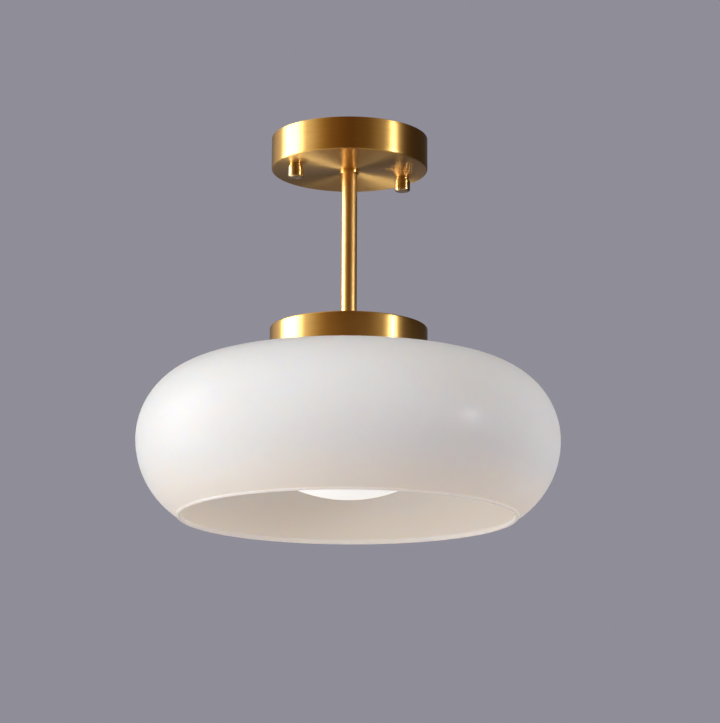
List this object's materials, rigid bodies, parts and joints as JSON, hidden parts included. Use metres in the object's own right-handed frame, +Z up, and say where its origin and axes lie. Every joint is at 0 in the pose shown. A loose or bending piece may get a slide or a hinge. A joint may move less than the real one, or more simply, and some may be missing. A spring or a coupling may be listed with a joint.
{
  "type": "glass ceiling light",
  "caption": "Semi-flush ceiling light: brass canopy, short brass rod and cap carrying a wide flattened opal glass shade, open below, with a screw-in lamp.",
  "frame": {"origin": "centre of the bracket's top face, which lies on the ceiling; the light hangs below it", "axes": "+Z up along the rod, X along the line of the two bracket studs, Y level across them"},
  "size_m": [0.32, 0.32, 0.296],
  "materials": {
    "zinc_steel": "zinc plated, dull",
    "satin_brass": "satin, lacquered, fine turned grain",
    "plain_brass": "plain turned",
    "tinned_copper": "tinned",
    "foam_pad": "soft foam",
    "terminal_plastic": "moulded",
    "brown_wire": "extruded",
    "blue_wire": "extruded",
    "green_yellow_wire": "extruded, two colours",
    "silicone": "translucent, soft",
    "holder_plastic": "moulded",
    "ceramic": "unglazed",
    "opal_glass": "opal, glossy",
    "lamp_nickel": "rolled, nickel plated",
    "black_glass": "glossy",
    "lamp_plastic": "moulded",
    "led_board": "white solder mask",
    "driver_board": "fibreglass board",
    "lamp_diffuser": "milky, lit from inside"
  },
  "bodies": {
    "ceiling_bracket": {"mounting_bracket": "zinc_steel", "bracket_studs": "zinc_steel", "stud_locknuts": "zinc_steel", "earth_screw": "zinc_steel"},
    "fixture": {"canopy": "satin_brass", "stem_rod": "satin_brass", "stem_collars": "satin_brass", "upper_nipple": "plain_brass", "lower_nipple": "plain_brass", "stem_lock_washers": "zinc_steel", "stem_hex_nuts": "plain_brass", "earth_tag": "tinned_copper", "terminal_pad": "foam_pad", "terminal_block": "terminal_plastic", "terminal_inserts": "plain_brass", "terminal_screws": "zinc_steel", "line_wire": "brown_wire", "neutral_wire": "blue_wire", "earth_wire": "green_yellow_wire", "shade_cap": "satin_brass", "cap_gasket": "silicone", "lampholder_dome": "holder_plastic", "lampholder_sleeve": "holder_plastic", "lampholder_core": "ceramic", "lampholder_shell": "plain_brass", "centre_contact": "tinned_copper", "lampholder_posts": "plain_brass", "post_screws": "zinc_steel"},
    "nut_near": {"cap_nut_near": "satin_brass"},
    "nut_far": {"cap_nut_far": "satin_brass"},
    "shade": {"glass_shade": "opal_glass", "ring_gasket": "silicone"},
    "ring": {"shade_ring": "holder_plastic"},
    "lamp_front": {"lamp_diffuser": "lamp_diffuser"},
    "lamp_base": {"lamp_tip": "lamp_nickel", "lamp_insulator": "black_glass", "lamp_screw_cap": "lamp_nickel", "lamp_housing": "lamp_plastic", "lamp_led_board": "led_board", "lamp_driver": "driver_board"}
  },
  "joints": [
    {"name": "canopy_lower", "type": "slide", "parent": "ceiling_bracket", "child": "fixture", "axis": [0, 0, -1], "range_m": [0, 0.006]},
    {"name": "nut_near_turn", "type": "hinge", "parent": "fixture", "child": "nut_near", "pos_m": [-0.045, 0, -0.03], "axis": [0, 0, -1], "range_deg": [0, 3087]},
    {"name": "nut_far_turn", "type": "hinge", "parent": "fixture", "child": "nut_far", "pos_m": [0.045, 0, -0.03], "axis": [0, 0, -1], "range_deg": [0, 3087]},
    {"name": "shade_lower", "type": "slide", "parent": "fixture", "child": "shade", "axis": [0, 0, -1], "range_m": [0, 0.012]},
    {"name": "shade_ring_turn", "type": "hinge", "parent": "shade", "child": "ring", "pos_m": [0, 0, -0.186], "axis": [0, 0, -1], "range_deg": [0, 1729]},
    {"name": "lamp_advance", "type": "slide", "parent": "fixture", "child": "lamp_front", "axis": [0, 0, -1], "range_m": [0, 0.016]},
    {"name": "lamp_turn", "type": "hinge", "parent": "lamp_front", "child": "lamp_base", "pos_m": [0, 0, -0.21], "axis": [0, 0, -1], "range_deg": [0, 1589]}
  ],
  "couplings": [
    {"joint": "nut_near_turn", "follows": "canopy_lower", "rad_per_m": 8976},
    {"joint": "nut_far_turn", "follows": "canopy_lower", "rad_per_m": 8976},
    {"joint": "shade_ring_turn", "follows": "shade_lower", "rad_per_m": 2513.3},
    {"joint": "lamp_turn", "follows": "lamp_advance", "rad_per_m": 1731.4}
  ]
}
